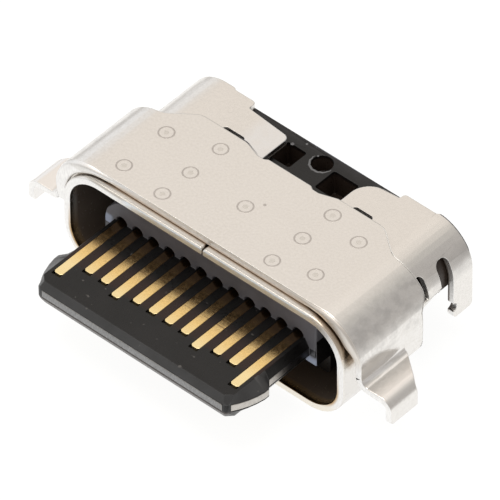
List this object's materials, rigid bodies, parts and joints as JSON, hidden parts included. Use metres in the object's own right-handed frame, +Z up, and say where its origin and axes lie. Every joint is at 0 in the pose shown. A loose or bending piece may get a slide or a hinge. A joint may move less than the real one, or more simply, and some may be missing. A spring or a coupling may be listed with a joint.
{
  "type": "usb-c socket",
  "caption": "Board-mounted socket for a small reversible plug: rolled steel mouth, folded cover with feet, long flat tongue with gold contact strips.",
  "frame": {"origin": "centre of the plug mouth, in the plane of the inner shell's front edge and at the middle of the tongue's thickness", "axes": "+X across the width, +Y into the socket, away from the plug, +Z up, away from the board's far side"},
  "size_m": [0.0114, 0.0075, 0.0032],
  "materials": {
    "cover_steel": "satin",
    "shell_steel": "satin",
    "housing_plastic": "semi-gloss",
    "carrier_plastic": "matte",
    "plate_steel": "bare cut edge",
    "contact_gold": "polished gold plating"
  },
  "bodies": {
    "root": {"outer_cover": "cover_steel", "inner_shell": "shell_steel", "tongue_housing": "housing_plastic", "upper_carrier": "carrier_plastic", "lower_carrier": "carrier_plastic", "middle_plate": "plate_steel", "upper_contact_01": "contact_gold", "upper_contact_02": "contact_gold", "upper_contact_03": "contact_gold", "upper_contact_04": "contact_gold", "upper_contact_05": "contact_gold", "upper_contact_06": "contact_gold", "upper_contact_07": "contact_gold", "upper_contact_08": "contact_gold", "upper_contact_09": "contact_gold", "upper_contact_10": "contact_gold", "upper_contact_11": "contact_gold", "upper_contact_12": "contact_gold", "lower_contact_01": "contact_gold", "lower_contact_02": "contact_gold", "lower_contact_03": "contact_gold", "lower_contact_04": "contact_gold", "lower_contact_05": "contact_gold", "lower_contact_06": "contact_gold", "lower_contact_07": "contact_gold", "lower_contact_08": "contact_gold", "lower_contact_09": "contact_gold", "lower_contact_10": "contact_gold", "lower_contact_11": "contact_gold", "lower_contact_12": "contact_gold"}
  },
  "joints": []
}
